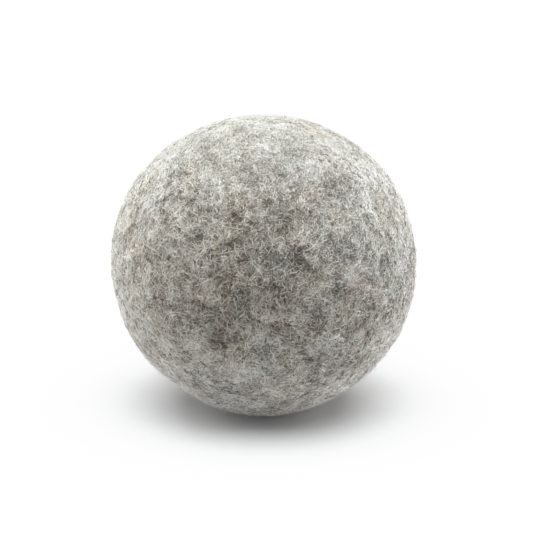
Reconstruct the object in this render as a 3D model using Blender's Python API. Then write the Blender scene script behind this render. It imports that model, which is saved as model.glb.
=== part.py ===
"""A solid wool dryer ball: a wad of scrap wool wrapped in three felted layers.

Each layer is two batts of carded wool, laid on from opposite sides. The layers cross each other: the
first is split left and right, the second front and back, the third top and bottom. A batt's rim is
feathered, and the other batt's rim laps over it. The ball stands on a small flat that its own weight
presses into the felt. The origin is the middle of that flat, +Z is up and -Y is the front.
"""

import math

import bmesh
import bpy
from mathutils import Matrix, Vector, noise

# Driving dimensions, in metres.
BALL_RADIUS = 0.0353
FLAT_RADIUS = 0.0095
CORE_RADIUS = 0.0135
GAP = 0.0003

# How far a scarf joint runs along its layer's axis for each metre across the layer.
SCARF_SLOPE = 1.0

# The broad swells and flats that rolling by hand leaves, as the direction each one faces, its height
# (negative for a flat) in metres and its spread in degrees. Azimuth 0 is +X and 90 is +Y.
SWELLS = (
    {"azimuth": 16, "elevation": 37, "height": 0.00040, "spread": 14},
    {"azimuth": 171, "elevation": 23, "height": 0.00058, "spread": 17},
    {"azimuth": 90, "elevation": 70, "height": -0.00045, "spread": 24},
    {"azimuth": -175, "elevation": -14, "height": -0.00030, "spread": 8},
    {"azimuth": -152, "elevation": -52, "height": -0.00085, "spread": 12},
    {"azimuth": -26, "elevation": -50, "height": -0.00050, "spread": 14},
    {"azimuth": -7, "elevation": -19, "height": 0.00042, "spread": 14},
    {"azimuth": -70, "elevation": 20, "height": 0.00035, "spread": 18},
    {"azimuth": 60, "elevation": 5, "height": -0.00040, "spread": 20},
    {"azimuth": 120, "elevation": -25, "height": 0.00040, "spread": 18},
)

# Small random unevenness over the whole ball: its height, and how many lumps fit across a radius.
LUMP_HEIGHT = 0.00022
LUMP_FREQUENCY = 2.3
LUMP_OFFSET = Vector((4.1, 7.7, 2.9))

# Each layer's name, the axis that its two batts meet across, what its low and high sides are called,
# the subdivisions of the icosphere that its outside starts from, and its colour.
LAYERS = (
    {
        "name": "inner_wrap",
        "axis": (1, 0, 0),
        "sides": ("left", "right"),
        "subdivisions": 4,
        "colour": (0.62, 0.60, 0.56),
    },
    {
        "name": "middle_wrap",
        "axis": (0, 1, 0),
        "sides": ("front", "back"),
        "subdivisions": 4,
        "colour": (0.46, 0.44, 0.41),
    },
    {
        "name": "outer_wrap",
        "axis": (0, 0, 1),
        "sides": ("bottom", "top"),
        "subdivisions": 5,
        "colour": (0.36, 0.34, 0.31),
    },
)
CORE_SUBDIVISIONS = 3
CORE_COLOUR = (0.24, 0.22, 0.20)
CONE_SEGMENTS = 48
WOOL_ROUGHNESS = 0.95

FLAT_DEPTH = BALL_RADIUS - math.sqrt(BALL_RADIUS**2 - FLAT_RADIUS**2)
LAYER_THICKNESS = (BALL_RADIUS - CORE_RADIUS) / len(LAYERS)


def clear_scene():
    for obj in list(bpy.data.objects):
        bpy.data.objects.remove(obj, do_unlink=True)


def new_collection(name):
    collection = bpy.data.collections.new(name)
    bpy.context.scene.collection.children.link(collection)
    return collection


def wool_material(name, colour):
    material = bpy.data.materials.new(name)
    material.use_nodes = True
    shader = material.node_tree.nodes["Principled BSDF"]
    shader.inputs["Base Color"].default_value = (*colour, 1.0)
    shader.inputs["Roughness"].default_value = WOOL_ROUGHNESS
    shader.inputs["Metallic"].default_value = 0.0
    material.diffuse_color = (*colour, 1.0)
    return material


def facing(azimuth, elevation):
    """The unit vector at an azimuth and elevation in degrees."""
    across = math.cos(math.radians(elevation))
    return Vector(
        (
            across * math.cos(math.radians(azimuth)),
            across * math.sin(math.radians(azimuth)),
            math.sin(math.radians(elevation)),
        )
    )


def unevenness(direction):
    """How far the felt stands out of a true sphere in this direction, at the ball's own radius."""
    height = LUMP_HEIGHT * noise.noise(direction * LUMP_FREQUENCY + LUMP_OFFSET)
    for swell in SWELLS:
        away = math.degrees(direction.angle(facing(swell["azimuth"], swell["elevation"])))
        height += swell["height"] * math.exp(-((away / swell["spread"]) ** 2) / 2)
    return height


def wool_sphere(name, radius, subdivisions, collection):
    """An icosphere with the ball's unevenness, scaled down with its radius."""
    mesh = bpy.data.meshes.new(name)
    shape = bmesh.new()
    bmesh.ops.create_icosphere(shape, subdivisions=subdivisions, radius=1.0)
    for vertex in shape.verts:
        direction = vertex.co.normalized()
        vertex.co = direction * radius * (1 + unevenness(direction) / BALL_RADIUS)
    shape.to_mesh(mesh)
    shape.free()
    mesh.shade_smooth()
    obj = bpy.data.objects.new(name, mesh)
    collection.objects.link(obj)
    return obj


def centre_on_flat(obj):
    """Where the ball's centre goes so that its box is centred over the origin and its flat is at z = 0."""
    corners = [Vector(corner) for corner in obj.bound_box]
    low = Vector(map(min, zip(*corners)))
    high = Vector(map(max, zip(*corners)))
    middle = (low + high) / 2
    return Vector((-middle.x, -middle.y, BALL_RADIUS - FLAT_DEPTH))


def add_cutter(obj):
    obj.hide_render = True
    obj.display_type = "WIRE"
    return obj


def scarf_cone(name, layer_middle, shift, axis, centre, collection):
    """A cone frustum whose slant is the joint between a layer's two batts. It covers the low side.

    Its narrow end is where the slant passes nearest to the centre, which is inside the layer's hollow.
    """
    reach = 2 * BALL_RADIUS
    top = layer_middle * SCARF_SLOPE / (1 + SCARF_SLOPE**2)
    mesh = bpy.data.meshes.new(name)
    shape = bmesh.new()
    bmesh.ops.create_cone(
        shape,
        cap_ends=True,
        segments=CONE_SEGMENTS,
        radius1=layer_middle + reach / SCARF_SLOPE,
        radius2=layer_middle - top / SCARF_SLOPE,
        depth=reach + top,
        matrix=Matrix.Translation((0, 0, (top - reach) / 2 + shift)),
    )
    shape.to_mesh(mesh)
    shape.free()
    obj = bpy.data.objects.new(name, mesh)
    collection.objects.link(obj)
    obj.rotation_euler = Vector((0, 0, 1)).rotation_difference(axis).to_euler()
    obj.location = centre
    return add_cutter(obj)


def floor_block(collection):
    """A block whose top is the plane that the ball stands on."""
    side = 4 * BALL_RADIUS
    mesh = bpy.data.meshes.new("floor_block")
    shape = bmesh.new()
    bmesh.ops.create_cube(shape, size=side, matrix=Matrix.Translation((0, 0, -side / 2)))
    shape.to_mesh(mesh)
    shape.free()
    obj = bpy.data.objects.new("floor_block", mesh)
    collection.objects.link(obj)
    return add_cutter(obj)


def cut(obj, cutter, operation):
    modifier = obj.modifiers.new(cutter.name, "BOOLEAN")
    modifier.operation = operation
    modifier.solver = "EXACT"
    modifier.object = cutter


def wrap_layer(layer, inside, outside, hollow_subdivisions, centre, parts, cutters):
    """Two batts that fill the space from the inside radius to the outside one, scarfed together.

    The hollow has the same facets as the surface that it goes round, so the gap between them is even.
    """
    name = layer["name"]
    hollow = add_cutter(wool_sphere(name + "_hollow", inside, hollow_subdivisions, cutters))
    hollow.location = centre
    axis = Vector(layer["axis"])
    middle = (inside + outside) / 2
    clearance = GAP * math.sqrt(1 + SCARF_SLOPE**2)
    low_joint = scarf_cone(name + "_low_joint", middle, 0.0, axis, centre, cutters)
    high_joint = scarf_cone(name + "_high_joint", middle, clearance, axis, centre, cutters)
    material = wool_material(name, layer["colour"])
    joints = ((low_joint, "INTERSECT"), (high_joint, "DIFFERENCE"))
    for side, (joint, operation) in zip(layer["sides"], joints):
        batt = wool_sphere(f"{name}_{side}", outside, layer["subdivisions"], parts)
        batt.location = centre
        batt.data.materials.append(material)
        cut(batt, hollow, "DIFFERENCE")
        cut(batt, joint, operation)


def main():
    clear_scene()
    parts = new_collection("dryer_ball")
    cutters = new_collection("dryer_ball_cutters")
    outermost = LAYERS[-1]["subdivisions"]
    outline = add_cutter(wool_sphere("ball_outline", BALL_RADIUS, outermost, cutters))
    centre = centre_on_flat(outline)
    outline.location = centre

    core = wool_sphere("core_wad", CORE_RADIUS, CORE_SUBDIVISIONS, parts)
    core.location = centre
    core.data.materials.append(wool_material("core_wad", CORE_COLOUR))

    wrapped_radius = CORE_RADIUS
    wrapped_subdivisions = CORE_SUBDIVISIONS
    for layer in LAYERS:
        inside = wrapped_radius + GAP
        wrapped_radius += LAYER_THICKNESS
        wrap_layer(layer, inside, wrapped_radius, wrapped_subdivisions, centre, parts, cutters)
        wrapped_subdivisions = layer["subdivisions"]
    cut(parts.objects["outer_wrap_bottom"], floor_block(cutters), "DIFFERENCE")


main()
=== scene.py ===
"""The looks of the felted wool dryer ball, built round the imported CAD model.

Every layer of wool is remade here with a woolly surface. The outer layer is a dense felt skin with
thousands of curled fibres matted into it, a short fuzz, a thin halo of stray ends, and a few long pale
guard hairs. Sizes and places are in metres, and the origin and axes are the CAD model's.
"""

import itertools
import math

import bmesh
import bpy
import numpy as np
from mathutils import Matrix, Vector
from mathutils.bvhtree import BVHTree


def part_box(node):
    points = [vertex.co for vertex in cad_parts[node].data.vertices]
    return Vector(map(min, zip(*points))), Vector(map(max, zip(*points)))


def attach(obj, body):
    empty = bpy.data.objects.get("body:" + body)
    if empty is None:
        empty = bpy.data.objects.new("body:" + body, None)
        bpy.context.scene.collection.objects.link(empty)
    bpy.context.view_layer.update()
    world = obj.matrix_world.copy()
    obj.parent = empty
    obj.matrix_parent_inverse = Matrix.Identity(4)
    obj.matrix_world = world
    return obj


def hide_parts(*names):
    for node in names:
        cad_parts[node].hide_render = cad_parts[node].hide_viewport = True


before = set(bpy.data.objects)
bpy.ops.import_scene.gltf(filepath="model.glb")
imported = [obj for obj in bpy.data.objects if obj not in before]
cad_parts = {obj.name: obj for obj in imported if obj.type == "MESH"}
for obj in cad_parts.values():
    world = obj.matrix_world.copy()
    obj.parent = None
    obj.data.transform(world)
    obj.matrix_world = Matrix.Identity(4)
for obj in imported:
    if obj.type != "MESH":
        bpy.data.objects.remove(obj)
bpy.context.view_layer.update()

MM = 0.001
ROOT = "root"

# The layers, from the inside out: each one's two batts on the low and the high side of its axis.
LAYERS = (
    {"low": "inner_wrap_left", "high": "inner_wrap_right", "axis": 0, "slot": "inner_wool"},
    {"low": "middle_wrap_front", "high": "middle_wrap_back", "axis": 1, "slot": "middle_wool"},
    {"low": "outer_wrap_bottom", "high": "outer_wrap_top", "axis": 2, "slot": "outer_felt"},
)
LAYER_GAP = 0.3 * MM

# Subdivisions of the icosphere that each wool surface starts from.
HIDDEN_DETAIL = 6
SKIN_DETAIL = 8
INSIDE_DETAIL = 5

core_low, core_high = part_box("core_wad")
CENTRE = np.array((core_low + core_high) / 2)


# Random fields in space.

LATTICE = 64


class Noise:
    """Smooth random values from about -1 to 1, with lumps of a given size in metres."""

    def __init__(self, seed, size):
        generator = np.random.default_rng(seed)
        self.values = generator.uniform(-1, 1, (LATTICE,) * 3)
        self.turn = np.linalg.qr(generator.normal(size=(3, 3)))[0]
        self.size = size

    def __call__(self, points):
        scaled = points @ self.turn / self.size + LATTICE / 2
        cell = np.floor(scaled).astype(int)
        part = scaled - cell
        ease = part * part * (3 - 2 * part)
        total = np.zeros(len(points))
        for corner in itertools.product((0, 1), repeat=3):
            x, y, z = ((cell + corner) % LATTICE).T
            weight = np.prod(np.where(corner, ease, 1 - ease), axis=1)
            total += weight * self.values[x, y, z]
        return total


def unit(vectors):
    return vectors / np.linalg.norm(vectors, axis=-1, keepdims=True)


# Where a layer's surface is, in any direction from the ball's centre.

GRID_AZIMUTHS = 360
GRID_ELEVATIONS = 181
ROUNDING_REACH = 4
ROUNDING_SPREAD = 2.0


class Outline:
    """A star-shaped surface round the ball's centre, as a smooth table of radius by direction."""

    def __init__(self, tree):
        azimuths = np.radians(np.arange(GRID_AZIMUTHS) - 180)
        elevations = np.radians(np.linspace(-90, 90, GRID_ELEVATIONS))
        table = np.zeros((GRID_AZIMUTHS, GRID_ELEVATIONS))
        for i, azimuth in enumerate(azimuths):
            for j, elevation in enumerate(elevations):
                across = math.cos(elevation)
                x, y = across * math.cos(azimuth), across * math.sin(azimuth)
                ray = Vector((x, y, math.sin(elevation)))
                table[i, j] = tree.ray_cast(Vector(CENTRE), ray)[3]
        self.table = self.rounded(table)
        self.mean = self.table.mean()

    def rounded(self, table):
        """Averages neighbouring directions, which rounds off the facets and the rim of the flat."""
        reach = ROUNDING_REACH
        kernel = np.exp(-((np.arange(-reach, reach + 1) / ROUNDING_SPREAD) ** 2) / 2)
        kernel /= kernel.sum()
        wide = np.pad(table, ((reach, reach), (0, 0)), mode="wrap")
        smooth = sum(w * wide[k : k + GRID_AZIMUTHS] for k, w in enumerate(kernel))
        tall = np.pad(smooth, ((0, 0), (reach, reach)), mode="reflect")
        return sum(w * tall[:, k : k + GRID_ELEVATIONS] for k, w in enumerate(kernel))

    def __call__(self, directions):
        x, y, z = directions.T
        column = (np.degrees(np.arctan2(y, x)) + 180) * GRID_AZIMUTHS / 360
        row = (np.degrees(np.arcsin(np.clip(z, -1, 1))) + 90) * (GRID_ELEVATIONS - 1) / 180
        i = np.floor(column).astype(int)
        j = np.minimum(np.floor(row).astype(int), GRID_ELEVATIONS - 2)
        along, up = column - i, row - j
        here, beside = i % GRID_AZIMUTHS, (i + 1) % GRID_AZIMUTHS
        near = self.table[here, j] * (1 - up) + self.table[here, j + 1] * up
        far = self.table[beside, j] * (1 - up) + self.table[beside, j + 1] * up
        return near * (1 - along) + far * along


def cad_outline(*nodes):
    """The outer surface of some CAD solids."""
    hull = bmesh.new()
    for node in nodes:
        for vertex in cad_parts[node].data.vertices:
            hull.verts.new(vertex.co)
    bmesh.ops.convex_hull(hull, input=hull.verts)
    tree = BVHTree.FromBMesh(hull)
    hull.free()
    return Outline(tree)


core_outline = cad_outline("core_wad")
outlines = [cad_outline(layer["low"], layer["high"]) for layer in LAYERS]


def icosphere(detail):
    """A unit sphere's directions and triangles."""
    shape = bmesh.new()
    bmesh.ops.create_icosphere(shape, subdivisions=detail, radius=1.0)
    directions = unit(np.array([v.co for v in shape.verts]))
    triangles = np.array([[v.index for v in face.verts] for face in shape.faces])
    shape.free()
    return directions, triangles


# The felt as a cloth under the push of the wool inside it. The cloth starts a little small and swells,
# held by the ball's weight where it rests on the floor, and no point of it moves further than the cap.
# It is simulated at ten times the ball's size, where the solver's own lengths are small beside it.

CLOTH_DETAIL = 5
CLOTH_SCALE = 10.0
CLOTH_START = 0.997
CLOTH_QUALITY = 6
CLOTH_MASS = 0.1
CLOTH_STRETCH_STIFFNESS = 5
CLOTH_BENDING_STIFFNESS = 0.5
CLOTH_PRESSURE = 4.0
CLOTH_FRAMES = 20
CLOTH_CAP = 0.5 * MM
HELD_BELOW = CLOTH_CAP / 5
TINY = 1e-9


def add_cloth(obj, held):
    held_group = obj.vertex_groups.new(name="held")
    held_group.add(held, 1.0, "REPLACE")
    cloth = obj.modifiers.new("felt", "CLOTH")
    cloth.settings.vertex_group_mass = held_group.name
    cloth.settings.quality = CLOTH_QUALITY
    cloth.settings.mass = CLOTH_MASS
    cloth.settings.tension_stiffness = CLOTH_STRETCH_STIFFNESS
    cloth.settings.compression_stiffness = CLOTH_STRETCH_STIFFNESS
    cloth.settings.bending_stiffness = CLOTH_BENDING_STIFFNESS
    cloth.settings.use_pressure = True
    cloth.settings.uniform_pressure_force = CLOTH_PRESSURE
    cloth.settings.effector_weights.gravity = 0
    cloth.collision_settings.use_collision = False
    cloth.point_cache.frame_start = 1
    cloth.point_cache.frame_end = CLOTH_FRAMES


def settled(outline):
    """The outline after its felt has swelled as a cloth."""
    directions, triangles = icosphere(CLOTH_DETAIL)
    radii = outline(directions)
    start = CENTRE + directions * (radii * CLOTH_START)[:, None]
    held = np.flatnonzero((CENTRE + directions * radii[:, None])[:, 2] < HELD_BELOW)
    start[held, 2] = 0
    mesh = bpy.data.meshes.new("cloth")
    mesh.from_pydata((start * CLOTH_SCALE).tolist(), [], triangles.tolist())
    cloth = bpy.data.objects.new("cloth", mesh)
    bpy.context.scene.collection.objects.link(cloth)
    add_cloth(cloth, held.tolist())
    for step in range(1, CLOTH_FRAMES + 1):
        bpy.context.scene.frame_set(step)
    evaluated = cloth.evaluated_get(bpy.context.evaluated_depsgraph_get())
    moved = np.empty(len(start) * 3, np.float32)
    evaluated.data.vertices.foreach_get("co", moved)
    moves = moved.reshape(-1, 3) / CLOTH_SCALE - start
    far = np.linalg.norm(moves, axis=1, keepdims=True)
    points = start + moves * np.minimum(1, CLOTH_CAP / np.maximum(far, TINY))
    points[:, 2] = np.maximum(points[:, 2], 0)
    bpy.data.objects.remove(cloth, do_unlink=True)
    bpy.context.scene.frame_set(1)
    return Outline(BVHTree.FromPolygons(points.tolist(), triangles.tolist()))


outlines[-1] = settled(outlines[-1])
ball_outline = outlines[-1]


# The felt's relief: soft dents, then pebbling where fibres have matted into knots, then fine grain.

# Each band's noise has its own seed and size of lump.
RELIEF = (
    {"noise": Noise(11, 7.0 * MM), "height": 0.10 * MM},
    {"noise": Noise(12, 3.2 * MM), "height": 0.09 * MM},
    {"noise": Noise(13, 1.5 * MM), "height": 0.07 * MM},
    {"noise": Noise(14, 0.8 * MM), "height": 0.05 * MM},
)

# How far the wool surfaces are sunk below the layers' outlines, so that their relief and, on the skin, the
# fibres reach up to the outline again.
SKIN_DEPTH = 0.16 * MM
HIDDEN_DEPTH = 0.31 * MM
FLOOR_CLEARANCE = 0.02 * MM


def surface(directions, outline, height):
    """Points on a layer's woolly surface, or at a height above it. None goes below the floor."""
    radius = outline(directions)
    points = directions * radius[:, None]
    relief = sum(band["height"] * band["noise"](points) for band in RELIEF)
    points = CENTRE + directions * (radius + relief + height)[:, None]
    points[:, 2] = np.maximum(points[:, 2], FLOOR_CLEARANCE)
    return points


# The wool's colour: its tone, from -1 for the darkest clumps to 1 for the palest, and its warmth, from
# -1 for cool grey to 1 for brown and cream.

CLUMPS = (
    {"noise": Noise(21, 7.0 * MM), "weight": 0.12},
    {"noise": Noise(22, 3.2 * MM), "weight": 0.44},
    {"noise": Noise(23, 1.8 * MM), "weight": 0.54},
    {"noise": Noise(24, 1.0 * MM), "weight": 0.63},
)
WARM_CLUMPS = (
    {"noise": Noise(31, 5.0 * MM), "weight": 0.6},
    {"noise": Noise(32, 2.0 * MM), "weight": 0.5},
)

# Patches laid over the random clumps: the direction each one faces, its spread in degrees, and how much
# paler it makes the wool or, where the amount is negative, darker. On the front they are only the broad
# ones, and they are painted light: a darker middle is painted shade where the front faces away from the
# lights, a paler crown is painted light from above, and a paler foot is painted light thrown up from the
# floor. The rest are made up for the back and the sides.
TONE_AND_PAINTED_LIGHT_PATCHES = (
    {"azimuth": -90, "elevation": 15, "spread": 24, "amount": -0.55},
    {"azimuth": -90, "elevation": 65, "spread": 26, "amount": 0.30},
    {"azimuth": -90, "elevation": -30, "spread": 12, "amount": 0.35},
    {"azimuth": 75, "elevation": 8, "spread": 34, "amount": -0.55},
    {"azimuth": 150, "elevation": 0, "spread": 26, "amount": -0.40},
    {"azimuth": 10, "elevation": 0, "spread": 22, "amount": -0.30},
    {"azimuth": 48, "elevation": 22, "spread": 7, "amount": 0.55},
    {"azimuth": 96, "elevation": 34, "spread": 6, "amount": 0.45},
    {"azimuth": 118, "elevation": -6, "spread": 6, "amount": 0.60},
)

# The same for the wool's warmth: warmer patches, and cooler ones where the amount is negative. The first
# five, on the front, are painted light tint: a warmer left middle where the ball is in shade, and a cooler
# crown, upper left and right side where the lights fall on it.
WARMTH_AND_PAINTED_LIGHT_TINT_PATCHES = (
    {"azimuth": -110, "elevation": 22, "spread": 30, "amount": 0.55},
    {"azimuth": -90, "elevation": 82, "spread": 30, "amount": -0.45},
    {"azimuth": -150, "elevation": 48, "spread": 22, "amount": -0.45},
    {"azimuth": -30, "elevation": 45, "spread": 24, "amount": -0.35},
    {"azimuth": -22, "elevation": 10, "spread": 24, "amount": -0.20},
    {"azimuth": 80, "elevation": 20, "spread": 26, "amount": 0.40},
)


def facing(azimuth, elevation):
    """The unit vector at an azimuth and elevation in degrees. Azimuth 0 is +X and 90 is +Y."""
    across = math.cos(math.radians(elevation))
    x, y = across * math.cos(math.radians(azimuth)), across * math.sin(math.radians(azimuth))
    return np.array((x, y, math.sin(math.radians(elevation))))


def patches_at(points, patches):
    """The sum of some soft round patches over the ball."""
    directions = unit(points - CENTRE)
    total = np.zeros(len(points))
    for patch in patches:
        cosine = np.clip(directions @ facing(patch["azimuth"], patch["elevation"]), -1, 1)
        away = np.degrees(np.arccos(cosine)) / patch["spread"]
        total += patch["amount"] * np.exp(-(away**2) / 2)
    return total


# How much the wool's tones vary, by the cosine between a place's direction and the ball's even side,
# where the wool is blended best.
EVEN_SIDE = unit(np.array((0.0, 0.45, 0.9)))
VARIETY_COSINES = (-0.9, -0.3, 0.42, 0.70)
VARIETY = (1.16, 1.0, 1.0, 0.67)


def variety(points):
    return np.interp(unit(points - CENTRE) @ EVEN_SIDE, VARIETY_COSINES, VARIETY)


def blend_of(bands, points):
    return sum(band["weight"] * band["noise"](points - CENTRE) for band in bands)


# The wool's tone, with the painted shade and painted light of the broad patches on the front.
def wool_tone_with_painted_light(points):
    return variety(points) * blend_of(CLUMPS, points) + patches_at(points, TONE_AND_PAINTED_LIGHT_PATCHES)


# The wool's warmth, with the painted light tint of the patches on the front.
def wool_warmth_with_painted_light_tint(points):
    return blend_of(WARM_CLUMPS, points) + patches_at(points, WARMTH_AND_PAINTED_LIGHT_TINT_PATCHES)


# Meshes.


def new_object(name, vertices, triangles, material):
    vertices = np.ascontiguousarray(vertices, np.float32)
    triangles = np.ascontiguousarray(triangles, np.int32)
    mesh = bpy.data.meshes.new(name)
    mesh.vertices.add(len(vertices))
    mesh.vertices.foreach_set("co", vertices.ravel())
    mesh.loops.add(triangles.size)
    mesh.loops.foreach_set("vertex_index", triangles.ravel())
    mesh.polygons.add(len(triangles))
    mesh.polygons.foreach_set("loop_start", np.arange(0, triangles.size, 3, dtype=np.int32))
    mesh.update(calc_edges=True)
    mesh.materials.append(material)
    mesh.shade_smooth()
    obj = bpy.data.objects.new(name, mesh)
    bpy.context.scene.collection.objects.link(obj)
    return obj


def add_tones(obj, points):
    """Stores the wool's tone and warmth on each vertex, painted shade and light included, for the material.
    """
    for name, values in (("tone", wool_tone_with_painted_light(points)), ("warmth", wool_warmth_with_painted_light_tint(points))):
        attribute = obj.data.attributes.new(name, "FLOAT", "POINT")
        attribute.data.foreach_set("value", values.astype(np.float32))


def face_outwards(obj):
    shape = bmesh.new()
    shape.from_mesh(obj.data)
    bmesh.ops.recalc_face_normals(shape, faces=shape.faces)
    shape.to_mesh(obj.data)
    shape.free()


def turn_about(directions, axis):
    """Each direction's angle round an axis."""
    return np.arctan2(directions[:, (axis + 2) % 3], directions[:, (axis + 1) % 3])


def sphere_patch(detail, axis, side, height):
    """The part of a unit sphere on one side of a plane: its directions, triangles and rim.

    The rim is a list of vertex numbers in order round the axis.
    """
    normal = np.zeros(3)
    normal[axis] = 1.0
    shape = bmesh.new()
    bmesh.ops.create_icosphere(shape, subdivisions=detail, radius=1.0)
    bmesh.ops.bisect_plane(
        shape,
        geom=shape.verts[:] + shape.edges[:] + shape.faces[:],
        plane_co=normal * height,
        plane_no=normal,
        clear_inner=side > 0,
        clear_outer=side < 0,
    )
    bmesh.ops.triangulate(shape, faces=shape.faces)
    shape.verts.index_update()
    directions = unit(np.array([v.co for v in shape.verts]))
    triangles = np.array([[v.index for v in face.verts] for face in shape.faces])
    rim = np.array([v.index for v in shape.verts if v.is_boundary])
    shape.free()
    return directions, triangles, rim[np.argsort(turn_about(directions[rim], axis))]


def bridge(directions, first_rim, second_rim, axis):
    """Triangles that join two rims round an axis, stepping along whichever rim is behind."""

    def steps(rim):
        turns = turn_about(directions[rim], axis)
        return [*turns[1:], turns[0] + 2 * math.pi, math.inf], [*rim, rim[0]]

    first_turns, first = steps(first_rim)
    second_turns, second = steps(second_rim)
    triangles = []
    i = j = 0
    while i < len(first_rim) or j < len(second_rim):
        if first_turns[i] <= second_turns[j]:
            triangles.append((first[i], second[j], first[i + 1]))
            i += 1
        else:
            triangles.append((first[i], second[j], second[j + 1]))
            j += 1
    return np.array(triangles)


def batt(name, layer, side, inside, outside, depth, detail, material):
    """One batt of a layer: a bowl of wool, cut on the slant where it meets the layer's other batt."""
    axis = layer["axis"]
    rim_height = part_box(layer["high"])[0][axis] - CENTRE[axis]
    lip_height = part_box(layer["low"])[1][axis] - CENTRE[axis]
    outer, outer_faces, rim = sphere_patch(detail, axis, side, rim_height / outside.mean)
    inner, inner_faces, lip = sphere_patch(INSIDE_DETAIL, axis, side, lip_height / inside.mean)
    outer_points = surface(outer, outside, -depth)
    inner_points = CENTRE + inner * (inside(inner) + LAYER_GAP)[:, None]
    inner_points[lip, axis] += side * LAYER_GAP / 2
    directions = np.vstack((outer, inner))
    joint = bridge(directions, rim, lip + len(outer), axis)
    triangles = np.vstack((outer_faces, inner_faces + len(outer), joint))
    points = np.vstack((outer_points, inner_points))
    obj = new_object(name, points, triangles, material)
    add_tones(obj, points)
    face_outwards(obj)
    return obj


def wad(name, outline, detail, material):
    """The core: a whole ball of matted scrap wool."""
    directions, triangles = icosphere(detail)
    points = surface(directions, outline, -HIDDEN_DEPTH)
    obj = new_object(name, points, triangles, material)
    add_tones(obj, points)
    return obj


# Fibres.

# Neighbouring fibres share a heading: one smooth random field for each of its three components.
SHARED_HEADING = [Noise(seed, 9.0 * MM) for seed in (41, 42, 43)]
HEADING_SPREAD = 0.5
LENGTH_RANGE = (0.6, 1.4)

# Towards the top, above this height on a unit ball, the felt is combed from front to back.
COMB = np.array((0.0, 0.8, 0.0))
COMBED_FROM = 0.3

# How thick a fibre's tips are beside its middle.
TIP = 0.35


def hand_laid(hair):
    """A fibre's start, its heading over the ball there, and its length."""
    start = facing(hair["azimuth"], hair["elevation"])
    east = unit(np.cross((0, 0, 1), start))
    north = np.cross(start, east)
    turn = math.radians(hair["heading"])
    return start, math.cos(turn) * east + math.sin(turn) * north, hair["length"]


def fibre_paths(random, fibres):
    """Curled paths over the ball: the directions of their points, (fibre, point, 3), and heights.

    A path starts roughly along its neighbours, keeps a bend of its own and wobbles about it. It weaves
    in and out of the felt. An arch of 1 sinks both its ends, and an arch of a half leaves one standing.
    """
    count, points = fibres["count"], fibres["points"]
    here = unit(random.normal(size=(count, 3)))
    length = fibres["length"] * random.uniform(*LENGTH_RANGE, count)
    places = here * ball_outline.mean
    shared = np.stack([noise(places) for noise in SHARED_HEADING], axis=1) * fibres["alignment"]
    combed = np.clip((here[:, 2:] - COMBED_FROM) / (1 - COMBED_FROM), 0, 1) * COMB
    heading = shared + combed + random.normal(0, HEADING_SPREAD, (count, 3))
    for k, hair in enumerate(fibres["placed"]):
        here[k], heading[k], length[k] = hand_laid(hair)
    step = (length / (points - 1) / ball_outline.mean)[:, None]
    own_bend = random.normal(0, fibres["bend"], count)
    path = [here]
    for _ in range(points - 1):
        heading = unit(heading - here * np.sum(heading * here, axis=1, keepdims=True))
        here = unit(here + heading * step)
        turn = (own_bend + random.normal(0, fibres["wobble"], count))[:, None]
        heading = np.cos(turn) * heading + np.sin(turn) * np.cross(here, heading)
        path.append(here)
    along = np.linspace(0, 1, points)
    arch = np.sin(math.pi * along * fibres["arch"]) ** 0.5
    phase = random.uniform(0, 2 * math.pi, (count, 1))
    weave = 0.5 + 0.5 * np.cos(2 * math.pi * fibres["dives"] * along[None, :] + phase)
    low, high = fibres["lift"]
    rise = arch * (1 - fibres["depth"] * weave) * random.uniform(low, high, (count, 1))
    return np.stack(path, axis=1), rise - fibres["sink"]


def tubes(spines, radii, sides=3):
    """Closed tubes along spines, (tube, point, 3), as vertices and triangles."""
    count, points, _ = spines.shape
    forward = unit(np.gradient(spines, axis=1))
    across = unit(np.cross(forward, unit(spines - CENTRE)))
    up = np.cross(across, forward)
    turn = np.arange(sides) * 2 * math.pi / sides
    ring = (
        np.cos(turn)[None, None, :, None] * up[:, :, None]
        + np.sin(turn)[None, None, :, None] * across[:, :, None]
    )
    vertices = (spines[:, :, None] + ring * radii[:, :, None, None]).reshape(-1, 3)
    vertices[:, 2] = np.maximum(vertices[:, 2], FLOOR_CLEARANCE / 2)
    side = np.arange(sides)
    following = (side + 1) % sides
    walls = []
    for k in range(points - 1):
        low, high = k * sides, (k + 1) * sides
        walls.append(np.stack((low + side, low + following, high + following), axis=1))
        walls.append(np.stack((low + side, high + following, high + side), axis=1))
    last = (points - 1) * sides
    fan = np.arange(1, sides - 1)
    zeros = np.zeros_like(fan)
    walls.append(np.stack((zeros, fan + 1, fan), axis=1))
    walls.append(np.stack((zeros, fan, fan + 1), axis=1) + last)
    one = np.vstack(walls)
    triangles = (one[None] + (np.arange(count) * points * sides)[:, None, None]).reshape(-1, 3)
    return vertices, triangles


def joined(shapes):
    """Several sets of vertices and triangles as one."""
    starts = np.cumsum([0] + [len(vertices) for vertices, _ in shapes[:-1]])
    triangles = [faces + start for (_, faces), start in zip(shapes, starts)]
    return np.vstack([vertices for vertices, _ in shapes]), np.vstack(triangles)


def raised(directions, heights):
    """Points over the ball's felt at some heights, for (fibre, point) arrays."""
    flat = surface(directions.reshape(-1, 3), ball_outline, heights.ravel() - SKIN_DEPTH)
    return flat.reshape(*heights.shape, 3)


# The shades of wool in the mix. A fibre takes the shade nearest its own tone and warmth.

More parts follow.
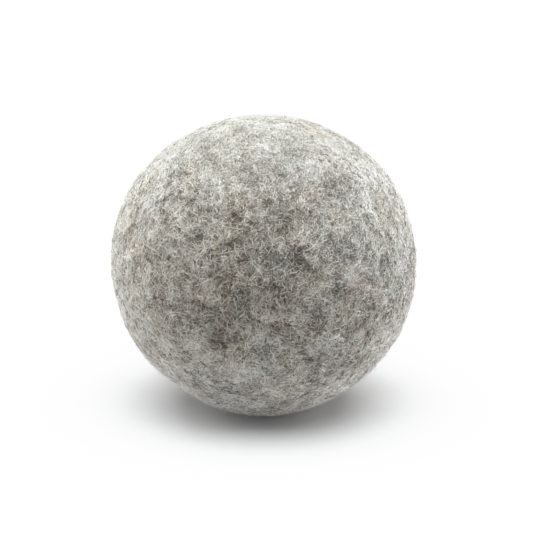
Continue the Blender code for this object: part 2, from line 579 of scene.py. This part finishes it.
SHADES = (
    {"name": "charcoal", "tone": -1.7, "warmth": 0.0, "colour": (0.056, 0.048, 0.038)},
    {"name": "umber", "tone": -1.1, "warmth": 0.6, "colour": (0.186, 0.147, 0.112)},
    {"name": "slate", "tone": -1.1, "warmth": -0.6, "colour": (0.158, 0.156, 0.136)},
    {"name": "taupe", "tone": -0.55, "warmth": 0.6, "colour": (0.338, 0.286, 0.234)},
    {"name": "ash", "tone": -0.55, "warmth": -0.6, "colour": (0.300, 0.299, 0.266)},
    {"name": "fawn", "tone": -0.05, "warmth": 0.6, "colour": (0.486, 0.434, 0.374)},
    {"name": "pewter", "tone": -0.05, "warmth": -0.6, "colour": (0.448, 0.450, 0.412)},
    {"name": "oat", "tone": 0.45, "warmth": 0.6, "colour": (0.640, 0.600, 0.532)},
    {"name": "silver", "tone": 0.45, "warmth": -0.6, "colour": (0.604, 0.612, 0.578)},
    {"name": "cream", "tone": 0.95, "warmth": 0.6, "colour": (0.700, 0.679, 0.622)},
    {"name": "pearl", "tone": 0.95, "warmth": -0.6, "colour": (0.680, 0.690, 0.664)},
    {"name": "white", "tone": 1.45, "warmth": 0.0, "colour": (0.725, 0.724, 0.700)},
)

# A fibre's tone is its clump's, lifted, with a random spread and a tail of much darker fibres. In the
# search for its nearest shade, warmth counts less than tone.
TONE_LIFT = 0.85
DARK_TAIL = 0.86
TONE_SPREAD = 0.46
WARMTH_SPREAD = 0.45
WARMTH_WEIGHT = 0.3

# Guard hairs laid one by one on the front: where each starts, its heading in degrees from east towards
# north, and its length.
FRONT_HAIRS = (
    {"azimuth": -88, "elevation": 35, "heading": -85, "length": 4.5 * MM},
    {"azimuth": -74, "elevation": 7, "heading": -2, "length": 10.0 * MM},
    {"azimuth": -75, "elevation": 24, "heading": 2, "length": 7.0 * MM},
    {"azimuth": -68, "elevation": 17, "heading": -30, "length": 4.0 * MM},
    {"azimuth": -96, "elevation": 21, "heading": -20, "length": 6.0 * MM},
)

FIBRE_SEED = 51

# The kinds of fibre: long ones that weave in and out of the felt, short ends between them, loose fuzz
# that stands off it, a thin halo of stray ends, and a few long pale guard hairs.
#
# A kind has a number of fibres, each with a mean length and some points. "alignment" is how far they follow
# their neighbours, "bend" each one's steady turn at a point and "wobble" its random turn, in radians.
# "lift" is how high they rise and "arch" the shape of the rise. "dives" is how often they weave back into
# the felt and "depth" how far. "sink" is how deep their ends lie, and "paler" is added to their tone. The
# first few of a kind can be "placed" one by one, and the rest lie at random.
KINDS = (
    {
        "count": 17000,
        "length": 4.0 * MM,
        "points": 8,
        "alignment": 0.65,
        "bend": 0.17,
        "wobble": 0.22,
        "dives": 1.6,
        "depth": 1.0,
        "arch": 1.0,
        "lift": (0.10 * MM, 0.26 * MM),
        "sink": 0.05 * MM,
        "radius": (0.040 * MM, 0.085 * MM),
        "paler": 0.0,
        "placed": (),
    },
    {
        "count": 44000,
        "length": 1.3 * MM,
        "points": 3,
        "alignment": 0.65,
        "bend": 0.36,
        "wobble": 0.25,
        "dives": 0.0,
        "depth": 0.0,
        "arch": 1.0,
        "lift": (0.05 * MM, 0.24 * MM),
        "sink": 0.07 * MM,
        "radius": (0.045 * MM, 0.105 * MM),
        "paler": 0.0,
        "placed": (),
    },
    {
        "count": 26000,
        "length": 1.2 * MM,
        "points": 4,
        "alignment": 0.3,
        "bend": 0.20,
        "wobble": 0.25,
        "dives": 0.0,
        "depth": 0.0,
        "arch": 0.7,
        "lift": (0.22 * MM, 0.55 * MM),
        "sink": 0.02 * MM,
        "radius": (0.016 * MM, 0.030 * MM),
        "paler": 0.60,
        "placed": (),
    },
    {
        "count": 4500,
        "length": 1.7 * MM,
        "points": 4,
        "alignment": 0.3,
        "bend": 0.20,
        "wobble": 0.25,
        "dives": 0.0,
        "depth": 0.0,
        "arch": 0.6,
        "lift": (0.45 * MM, 1.0 * MM),
        "sink": 0.02 * MM,
        "radius": (0.013 * MM, 0.022 * MM),
        "paler": 0.60,
        "placed": (),
    },
    {
        "count": 60,
        "length": 10.0 * MM,
        "points": 18,
        "alignment": 0.3,
        "bend": 0.08,
        "wobble": 0.10,
        "dives": 1.2,
        "depth": 0.5,
        "arch": 1.0,
        "lift": (0.34 * MM, 0.46 * MM),
        "sink": 0.04 * MM,
        "radius": (0.044 * MM, 0.060 * MM),
        "paler": 1.4,
        "placed": FRONT_HAIRS,
    },
)


def shade_of(random, places, paler):
    """Most fibres are near the tone there, painted shade and light included, and a few are much darker."""
    count = len(places)
    spread = random.normal(0, TONE_SPREAD, count) - random.exponential(DARK_TAIL, count)
    spread = variety(places) * (spread + DARK_TAIL) - DARK_TAIL
    tone = wool_tone_with_painted_light(places) + TONE_LIFT + paler + spread
    # The warmth carries the painted light tint of the front's patches.
    warmth = wool_warmth_with_painted_light_tint(places) + random.normal(0, WARMTH_SPREAD, count)
    away = [(tone - s["tone"]) ** 2 + WARMTH_WEIGHT * (warmth - s["warmth"]) ** 2 for s in SHADES]
    return np.argmin(away, axis=0)


def taper(points):
    """A fibre's thickness at each of its points, beside that of its middle."""
    return TIP + (1 - TIP) * np.sin(math.pi * np.linspace(0, 1, points)) ** 0.5


def matted_fibres(random, materials):
    """Fibres that lie on the skin, one piece for each shade."""
    shapes = [[] for _ in SHADES]
    for kind in KINDS:
        paths, rise = fibre_paths(random, kind)
        spines = raised(paths, rise)
        radii = random.uniform(*kind["radius"], kind["count"])[:, None] * taper(kind["points"])
        shades = shade_of(random, spines[:, kind["points"] // 2], kind["paler"])
        for k, shape in enumerate(shapes):
            shape.append(tubes(spines[shades == k], radii[shades == k]))
    made = []
    for shade, shape, material in zip(SHADES, shapes, materials):
        made.append(new_object(f"matted_fibres_{shade['name']}", *joined(shape), material))
    return made


# Materials.

SHEEN = 0.5
SHEEN_ROUGHNESS = 0.4
WOOL_SPECULAR = 0.25
FIBRE_SPECULAR = 0.3

# A wool surface's finest fibres are the contour lines of random fields, which are shifted and turned
# against one another. A fibre's middle and the gap beside it are one band of a field's value apart, and a
# fibre is this part of a field's lumps in width. The weave runs between a low and a high sum of the fields.
STRAND_FIELDS = 4
STRAND_SHIFT = (0.37, 0.61, 0.83)
STRAND_TURN = (0.9, 0.7, 0.5)
STRAND_BAND = 0.035
STRAND_WIDTH = 0.12
WEAVE_LOW = 0.8
WEAVE_HIGH = 3.2
WEAVE_HEIGHT = 0.15 * MM
WEAVE_ROUGHNESS = 0.08

# The tone and the warmth at the ends of a wool's colours.
TONE_REACH = 1.6
WARMTH_REACH = 0.8
COOL_TINT = (0.97, 1.0, 1.05)
WARM_TINT = (1.05, 0.99, 0.91)

# The fine scales along a fibre, in lumps for each metre, and the roughness that they vary between.
FIBRE_SCALES = 4000.0
FIBRE_ROUGHNESS = (0.6, 0.95)


def link(tree, output, target):
    tree.links.new(output, target)


def wool_shader(name, specular):
    """A new material with wool's soft sheen: the material, its node tree and its shader."""
    material = bpy.data.materials.new(name)
    material.use_nodes = True
    tree = material.node_tree
    shader = tree.nodes["Principled BSDF"]
    shader.inputs["Sheen Weight"].default_value = SHEEN
    shader.inputs["Sheen Roughness"].default_value = SHEEN_ROUGHNESS
    shader.inputs["Specular IOR Level"].default_value = specular
    return material, tree, shader


def object_place(tree):
    return tree.nodes.new("ShaderNodeTexCoord").outputs["Object"]


def attribute_value(tree, name):
    attribute = tree.nodes.new("ShaderNodeAttribute")
    attribute.attribute_name = name
    return attribute.outputs["Fac"]


def noise_field(tree, place, scale, detail):
    field = tree.nodes.new("ShaderNodeTexNoise")
    field.inputs["Scale"].default_value = scale
    field.inputs["Detail"].default_value = detail
    link(tree, place, field.inputs["Vector"])
    return field.outputs["Fac"]


def mapped(tree, value, low, high, new_low=0.0, new_high=1.0):
    """A value moved from the range low to high into a new range, and held inside it."""
    node = tree.nodes.new("ShaderNodeMapRange")
    node.inputs["From Min"].default_value = low
    node.inputs["From Max"].default_value = high
    node.inputs["To Min"].default_value = new_low
    node.inputs["To Max"].default_value = new_high
    link(tree, value, node.inputs["Value"])
    return node.outputs["Result"]


def added(tree, first, second):
    node = tree.nodes.new("ShaderNodeMath")
    node.operation = "ADD"
    link(tree, first, node.inputs[0])
    link(tree, second, node.inputs[1])
    return node.outputs["Value"]


def strands(tree, place, fibre_size):
    """Fine curled fibres over a surface, from -1 between them to 1 where several cross."""
    total = None
    for k in range(STRAND_FIELDS):
        shift = tree.nodes.new("ShaderNodeMapping")
        shift.inputs["Location"].default_value = [part * k for part in STRAND_SHIFT]
        shift.inputs["Rotation"].default_value = [part * k for part in STRAND_TURN]
        link(tree, place, shift.inputs["Vector"])
        contours = tree.nodes.new("ShaderNodeMath")
        contours.operation = "PINGPONG"
        contours.inputs[1].default_value = STRAND_BAND
        field = noise_field(tree, shift.outputs["Vector"], STRAND_WIDTH / fibre_size, detail=1.0)
        link(tree, field, contours.inputs[0])
        strand = mapped(tree, contours.outputs["Value"], 0.0, STRAND_BAND)
        total = added(tree, total, strand) if k else strand
    return mapped(tree, total, WEAVE_LOW, WEAVE_HIGH, -1.0, 1.0)


def ramp_colour(tree, value, ramp):
    colours = tree.nodes.new("ShaderNodeValToRGB")
    elements = colours.color_ramp.elements
    while len(elements) < len(ramp):
        elements.new(0.5)
    for element, (position, colour) in zip(elements, ramp):
        element.position = position
        element.color = (*colour, 1.0)
    link(tree, value, colours.inputs["Fac"])
    return colours.outputs["Color"]


def tinted(tree, colour, warmth):
    """A colour multiplied by the cool tint, the warm one or a mix of them."""
    tints = tree.nodes.new("ShaderNodeMix")
    tints.data_type = "RGBA"
    tints.inputs["A"].default_value = (*COOL_TINT, 1.0)
    tints.inputs["B"].default_value = (*WARM_TINT, 1.0)
    link(tree, warmth, tints.inputs["Factor"])
    product = tree.nodes.new("ShaderNodeMix")
    product.data_type = "RGBA"
    product.blend_type = "MULTIPLY"
    product.inputs["Factor"].default_value = 1.0
    link(tree, colour, product.inputs["A"])
    link(tree, tints.outputs["Result"], product.inputs["B"])
    return product.outputs["Result"]


def wool_material(name, ramp, roughness=0.9, bump=0.4, fibre_size=0.5 * MM):
    """Wool whose colour follows each vertex's tone, broken up by fine curled fibres."""
    material, tree, shader = wool_shader(name, WOOL_SPECULAR)
    weave = strands(tree, object_place(tree), fibre_size)

    # The vertex tone and warmth carry the front's painted shade, painted light and painted light tint.
    tone = added(tree, attribute_value(tree, "tone"), weave)
    colour = ramp_colour(tree, mapped(tree, tone, -TONE_REACH, TONE_REACH), ramp)
    warmth = mapped(tree, attribute_value(tree, "warmth"), -WARMTH_REACH, WARMTH_REACH)
    link(tree, tinted(tree, colour, warmth), shader.inputs["Base Color"])

    smoothest, roughest = roughness - WEAVE_ROUGHNESS, min(roughness + WEAVE_ROUGHNESS, 1.0)
    rough = mapped(tree, weave, -1.0, 1.0, smoothest, roughest)
    link(tree, rough, shader.inputs["Roughness"])

    relief = tree.nodes.new("ShaderNodeBump")
    relief.inputs["Strength"].default_value = bump
    relief.inputs["Distance"].default_value = WEAVE_HEIGHT
    link(tree, weave, relief.inputs["Height"])
    link(tree, relief.outputs["Normal"], shader.inputs["Normal"])
    return material


def fibre_material(name, colour):
    """One shade of wool fibre, with fine scales along it that break up its shine."""
    material, tree, shader = wool_shader(name, FIBRE_SPECULAR)
    shader.inputs["Base Color"].default_value = (*colour, 1.0)
    scales = noise_field(tree, object_place(tree), FIBRE_SCALES, detail=2.0)
    link(tree, mapped(tree, scales, 0.0, 1.0, *FIBRE_ROUGHNESS), shader.inputs["Roughness"])
    return material


# The colours of each wool, from its darkest tone to its palest, by place along the range of tones.
GREY_WOOL = (
    (0.00, (0.036, 0.031, 0.026)),
    (0.30, (0.112, 0.100, 0.084)),
    (0.60, (0.262, 0.248, 0.222)),
    (0.85, (0.455, 0.446, 0.416)),
    (1.00, (0.660, 0.656, 0.628)),
)
SCRAP_WOOL = (
    (0.00, (0.022, 0.018, 0.014)),
    (0.35, (0.075, 0.058, 0.044)),
    (0.65, (0.190, 0.158, 0.126)),
    (1.00, (0.420, 0.385, 0.335)),
)
CREAM_WOOL = (
    (0.00, (0.215, 0.190, 0.150)),
    (0.35, (0.420, 0.390, 0.330)),
    (0.70, (0.620, 0.595, 0.525)),
    (1.00, (0.760, 0.745, 0.690)),
)
MID_WOOL = (
    (0.00, (0.085, 0.078, 0.068)),
    (0.35, (0.200, 0.190, 0.172)),
    (0.70, (0.370, 0.358, 0.330)),
    (1.00, (0.560, 0.550, 0.520)),
)


# The pieces.

scraps = wool_material("scrap_wool", SCRAP_WOOL, roughness=0.88, bump=0.6, fibre_size=0.8 * MM)
wools = (
    wool_material("cream_wool", CREAM_WOOL, bump=0.5, fibre_size=0.7 * MM),
    wool_material("mid_grey_wool", MID_WOOL, bump=0.5, fibre_size=0.6 * MM),
    wool_material("grey_felt", GREY_WOOL),
)

inside = core_outline
for layer, outside, wool in zip(LAYERS, outlines, wools):
    outermost = layer is LAYERS[-1]
    detail, depth = (SKIN_DETAIL, SKIN_DEPTH) if outermost else (HIDDEN_DETAIL, HIDDEN_DEPTH)
    for side, node in ((-1, layer["low"]), (1, layer["high"])):
        piece = batt(node + "_felt", layer, side, inside, outside, depth, detail, wool)
        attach(piece, ROOT)
        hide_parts(node)
    inside = outside
core = wad("core_wad_wool", core_outline, HIDDEN_DETAIL, scraps)
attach(core, ROOT)
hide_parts("core_wad")

fibre_materials = [fibre_material(s["name"] + "_fibre", s["colour"]) for s in SHADES]
for piece in matted_fibres(np.random.default_rng(FIBRE_SEED), fibre_materials):
    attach(piece, ROOT)


# Floor, backdrop, lights and camera.

FLOOR_RADIUS = 0.18
FLOOR_SIDES = 96
FLOOR_COLOUR = (0.684, 0.690, 0.705)
FLOOR_ROUGHNESS = 0.9
BACKDROP_RADIUS = 4.0
BACKDROP_SEGMENTS = 48
BACKDROP_RINGS = 24
BACKDROP_STRENGTH = 2.0
WORLD_STRENGTH = 0.035


def emission_material(name, strength):
    material = bpy.data.materials.new(name)
    material.use_nodes = True
    tree = material.node_tree
    tree.nodes.clear()
    light = tree.nodes.new("ShaderNodeEmission")
    light.inputs["Strength"].default_value = strength
    output = tree.nodes.new("ShaderNodeOutputMaterial")
    link(tree, light.outputs["Emission"], output.inputs["Surface"])
    return material


def floor_material():
    material = bpy.data.materials.new("pale_floor")
    material.use_nodes = True
    shader = material.node_tree.nodes["Principled BSDF"]
    shader.inputs["Base Color"].default_value = (*FLOOR_COLOUR, 1.0)
    shader.inputs["Roughness"].default_value = FLOOR_ROUGHNESS
    shader.inputs["Specular IOR Level"].default_value = 0.0
    return material


def add_stage():
    """The floor, and a white dome behind it that only the camera sees."""
    bpy.ops.mesh.primitive_circle_add(vertices=FLOOR_SIDES, radius=FLOOR_RADIUS, fill_type="NGON")
    floor = bpy.context.object
    floor.name = "floor"
    floor.data.materials.append(floor_material())
    bpy.ops.mesh.primitive_uv_sphere_add(
        radius=BACKDROP_RADIUS, segments=BACKDROP_SEGMENTS, ring_count=BACKDROP_RINGS
    )
    backdrop = bpy.context.object
    backdrop.name = "backdrop"
    backdrop.data.materials.append(emission_material("white_backdrop", BACKDROP_STRENGTH))
    backdrop.visible_diffuse = False
    backdrop.visible_glossy = False
    backdrop.visible_transmission = False
    backdrop.visible_volume_scatter = False
    backdrop.visible_shadow = False


def add_world():
    world = bpy.data.worlds.new("studio")
    world.use_nodes = True
    background = world.node_tree.nodes["Background"]
    background.inputs["Color"].default_value = (1, 1, 1, 1)
    background.inputs["Strength"].default_value = WORLD_STRENGTH
    bpy.context.scene.world = world


# The soft lights: where they are, their width and height, and their power in watts. One large light hangs
# overhead. On each side a low one shines in under the ball and a high one lifts the ball's flank.
SKYLIGHT = (0.995, 1.0, 0.989)
ROOM_LIGHT = (1.0, 0.982, 0.984)
OVERHEAD_PLACE = (0, -0.04, 0.8)
OVERHEAD_SIZE = (1.3, 1.25)
OVERHEAD_POWER = 21.6
SIDE_BACK = 0.2
LOW_HEIGHT = 0.053
LOW_SIZE = (1.0, 0.095)
HIGH_HEIGHT = 0.35
HIGH_SIZE = (0.8, 0.25)
SIDE_LIGHTS = (
    {"name": "left", "across": -0.73, "low_power": 6.0, "high_power": 2.3},
    {"name": "right", "across": 0.73, "low_power": 7.8, "high_power": 1.5},
)


def add_softbox(name, place, size, power, colour):
    data = bpy.data.lights.new(name, "AREA")
    data.shape = "RECTANGLE"
    data.size, data.size_y = size
    data.energy = power
    data.color = colour
    obj = bpy.data.objects.new(name, data)
    bpy.context.scene.collection.objects.link(obj)
    obj.location = place
    obj.visible_camera = False
    obj.rotation_euler = (Vector(CENTRE) - obj.location).to_track_quat("-Z", "Y").to_euler()


def add_lights():
    add_softbox("overhead_light", OVERHEAD_PLACE, OVERHEAD_SIZE, OVERHEAD_POWER, SKYLIGHT)
    for side in SIDE_LIGHTS:
        low = (side["across"], SIDE_BACK, LOW_HEIGHT)
        high = (side["across"], SIDE_BACK, HIGH_HEIGHT)
        add_softbox(side["name"] + "_low_light", low, LOW_SIZE, side["low_power"], ROOM_LIGHT)
        add_softbox(side["name"] + "_high_light", high, HIGH_SIZE, side["high_power"], SKYLIGHT)


# The picture's brightness for each brightness in the scene, which lets the lit floor run softly into white.
FULL_WHITE = 1.5
COMBINED_CURVE = 3
SHOULDER = ((0.8, 0.8), (0.9, 0.89), (1.0, 0.945), (1.1, 0.972), (1.2, 0.988), (1.35, 0.998))


def soften_white():
    """Bends the view's curve, which is straight up to the shoulder's first point."""
    view = bpy.context.scene.view_settings
    view.view_transform = "Standard"
    view.use_curve_mapping = True
    view.curve_mapping.white_level = (FULL_WHITE,) * 3
    curve = view.curve_mapping.curves[COMBINED_CURVE]
    for scene_value, shown in SHOULDER:
        curve.points.new(scene_value / FULL_WHITE, shown)
    for point in curve.points:
        point.handle_type = "VECTOR"
    view.curve_mapping.update()


# The camera looks along +Y and down. At the ball it frames the width given here, and it aims a little to
# the right of the ball's centre and below it.
CAMERA_ELEVATION = math.radians(20)
CAMERA_DISTANCE = 0.9
FRAME_WIDTH = 0.1279
AIM_RIGHT = 0.00260
AIM_DOWN = 0.00245


def add_camera():
    back = Vector((0, -math.cos(CAMERA_ELEVATION), math.sin(CAMERA_ELEVATION)))
    up = Vector((0, math.sin(CAMERA_ELEVATION), math.cos(CAMERA_ELEVATION)))
    aim = Vector(CENTRE) + Vector((AIM_RIGHT, 0, 0)) - up * AIM_DOWN
    data = bpy.data.cameras.new("camera")
    data.lens = data.sensor_width * CAMERA_DISTANCE / FRAME_WIDTH
    data.clip_end = 5 * BACKDROP_RADIUS
    obj = bpy.data.objects.new("camera", data)
    bpy.context.scene.collection.objects.link(obj)
    obj.location = aim + back * CAMERA_DISTANCE
    obj.rotation_euler = (-back).to_track_quat("-Z", "Y").to_euler()
    bpy.context.scene.camera = obj


add_stage()
add_world()
add_lights()
add_camera()
soften_white()
